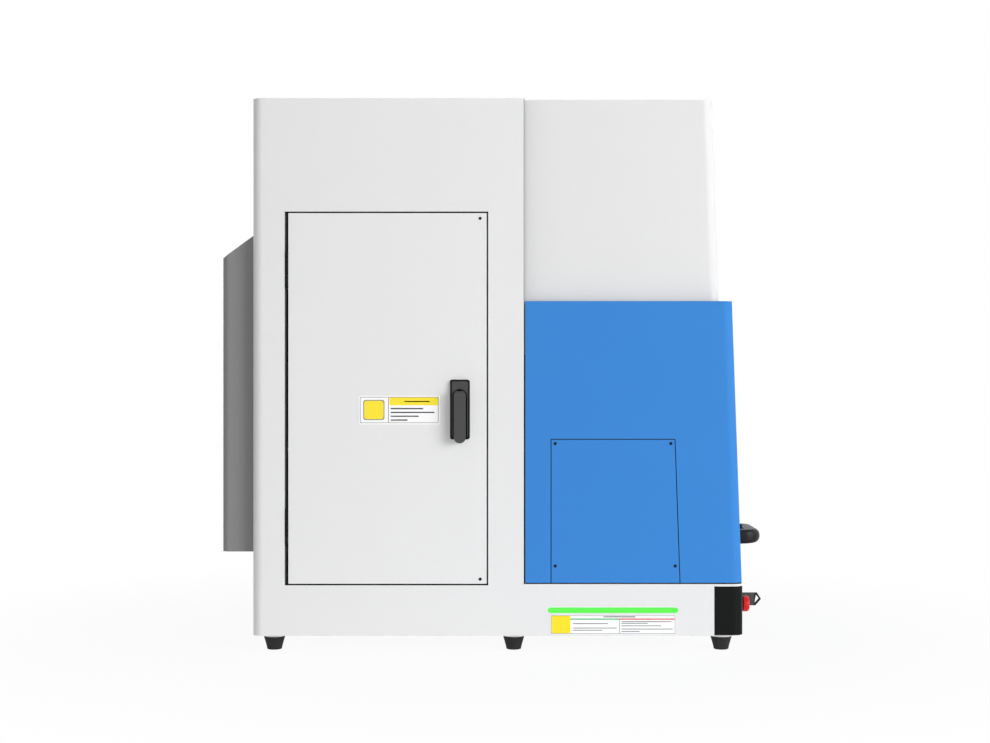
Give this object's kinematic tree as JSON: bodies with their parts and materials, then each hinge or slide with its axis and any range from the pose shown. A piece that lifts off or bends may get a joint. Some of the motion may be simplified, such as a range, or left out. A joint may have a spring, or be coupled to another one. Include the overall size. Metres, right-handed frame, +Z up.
{
  "type": "fiber laser marking machine",
  "caption": "Enclosed benchtop laser marking machine: tall cabinet with side door, sliding hood over a worktable, scan head on an upright drive, and rubber feet.",
  "frame": {"origin": "floor level, half way across the base and half way along it", "axes": "+X to the right as seen from behind the machine, -Y towards the operator at the hood, +Z up"},
  "size_m": [0.5925, 0.9021, 0.891],
  "materials": {
    "grey_paint": "satin",
    "white_paint": "satin",
    "blue_paint": "satin",
    "dark_paint": "satin",
    "black_paint": "satin",
    "black_plastic": "matte",
    "rubber": "matte",
    "red_plastic": "gloss",
    "light_lens": "gloss",
    "steel": "satin",
    "aluminium": "satin",
    "black_anodised": "satin",
    "screw_black": "satin",
    "window": "gloss",
    "mirror": "polished",
    "breaker_plastic": "matte",
    "armour": "satin",
    "lens_glass": "gloss"
  },
  "bodies": {
    "frame": {"base_tray": "grey_paint", "base_deck": "grey_paint", "side_left": "grey_paint", "side_right": "grey_paint", "rear_wall": "grey_paint", "cabinet_roof": "grey_paint", "bulkhead": "grey_paint", "upper_housing": "white_paint", "control_panel": "black_paint", "estop_collar": "black_plastic", "key_lock": "steel", "status_lights": "light_lens", "rubber_feet": "rubber", "foot_bolts": "steel", "rear_vent_cover": "dark_paint", "fan_frames": "black_plastic", "fan_guards": "steel", "connector_box": "grey_paint", "power_inlet": "black_plastic", "laser_source": "dark_paint", "control_unit": "dark_paint", "power_supply": "aluminium", "breaker_rail": "breaker_plastic", "equipment_shelf": "steel", "z_column": "aluminium", "z_rails": "steel", "z_motor": "black_anodised", "screw_bearings": "aluminium", "worktable": "aluminium", "chamber_light": "breaker_plastic", "hood_guides": "steel", "strut_cylinders": "black_paint", "hinge_frame_leaves": "screw_black", "delivery_fiber": "armour"},
    "hood": {"hood_shell": "blue_paint", "hood_window": "window", "window_seal": "rubber", "hood_handle": "black_plastic", "service_panels": "blue_paint", "service_screws": "screw_black", "hood_carriages": "black_anodised", "strut_rods": "steel"},
    "door": {"cabinet_door": "grey_paint", "hinge_door_leaves": "screw_black", "latch_housing": "black_plastic", "door_screws": "screw_black"},
    "latch": {"latch_spindle": "steel"},
    "lever": {"latch_lever": "black_plastic"},
    "head": {"head_carriage": "aluminium", "beam_tube": "black_anodised", "scan_head": "black_anodised", "scan_lens": "lens_glass"},
    "mirror_x": {"galvo_mirror_x": "mirror"},
    "mirror_y": {"galvo_mirror_y": "mirror"},
    "screw": {"lead_screw": "steel"},
    "estop": {"estop_button": "red_plastic"},
    "key_core": {"key": "black_plastic"},
    "fan_left": {"fan_rotor_left": "black_plastic"},
    "fan_right": {"fan_rotor_right": "black_plastic"},
    "rocker": {"power_switch": "red_plastic"}
  },
  "joints": [
    {"name": "hood_lift", "type": "slide", "parent": "frame", "child": "hood", "axis": [0, 0, 1], "range_m": [0, 0.3]},
    {"name": "door_swing", "type": "hinge", "parent": "frame", "child": "door", "pos_m": [-0.285, 0.3383, 0.41], "axis": [0, 0, -1], "range_deg": [0, 120]},
    {"name": "latch_turn", "type": "hinge", "parent": "door", "child": "latch", "pos_m": [-0.285, 0.0607, 0.4175], "axis": [-1, 0, 0], "range_deg": [0, 90]},
    {"name": "lever_lift", "type": "hinge", "parent": "latch", "child": "lever", "pos_m": [-0.2998, 0.0607, 0.4175], "axis": [0, 1, 0], "range_deg": [0, 50]},
    {"name": "head_lift", "type": "slide", "parent": "frame", "child": "head", "axis": [0, 0, 1], "range_m": [-0.08, 0.2], "deforming": ["delivery_fiber"]},
    {"name": "screw_spin", "type": "hinge", "parent": "frame", "child": "screw", "pos_m": [0, -0.0905, 0.45], "axis": [0, 0, 1], "range_deg": [-3601, 9001]},
    {"name": "mirror_x_scan", "type": "hinge", "parent": "head", "child": "mirror_x", "pos_m": [-0.024, -0.2445, 0.458], "axis": [0, 0, 1], "range_deg": [-10, 10], "stiffness_Nm_per_rad": 0.05},
    {"name": "mirror_y_scan", "type": "hinge", "parent": "head", "child": "mirror_y", "pos_m": [0, -0.2445, 0.458], "axis": [0, 1, 0], "range_deg": [-10, 10], "stiffness_Nm_per_rad": 0.05},
    {"name": "estop_press", "type": "slide", "parent": "frame", "child": "estop", "axis": [0, 1, 0], "range_m": [0, 0.004], "stiffness_N_per_m": 800},
    {"name": "key_turn", "type": "hinge", "parent": "frame", "child": "key_core", "pos_m": [-0.105, -0.3935, 0.066], "axis": [0, 1, 0], "range_deg": [0, 90]},
    {"name": "fan_left_spin", "type": "hinge", "parent": "frame", "child": "fan_left", "pos_m": [-0.11, 0.3705, 0.53], "axis": [0, 1, 0], "continuous": true},
    {"name": "fan_right_spin", "type": "hinge", "parent": "frame", "child": "fan_right", "pos_m": [0.11, 0.3705, 0.53], "axis": [0, 1, 0], "continuous": true},
    {"name": "rocker_press", "type": "hinge", "parent": "frame", "child": "rocker", "pos_m": [-0.165, 0.3935, 0.1005], "axis": [1, 0, 0], "range_deg": [0, 26]}
  ],
  "couplings": [
    {"joint": "screw_spin", "follows": "head_lift", "rad_per_m": 785.4}
  ]
}
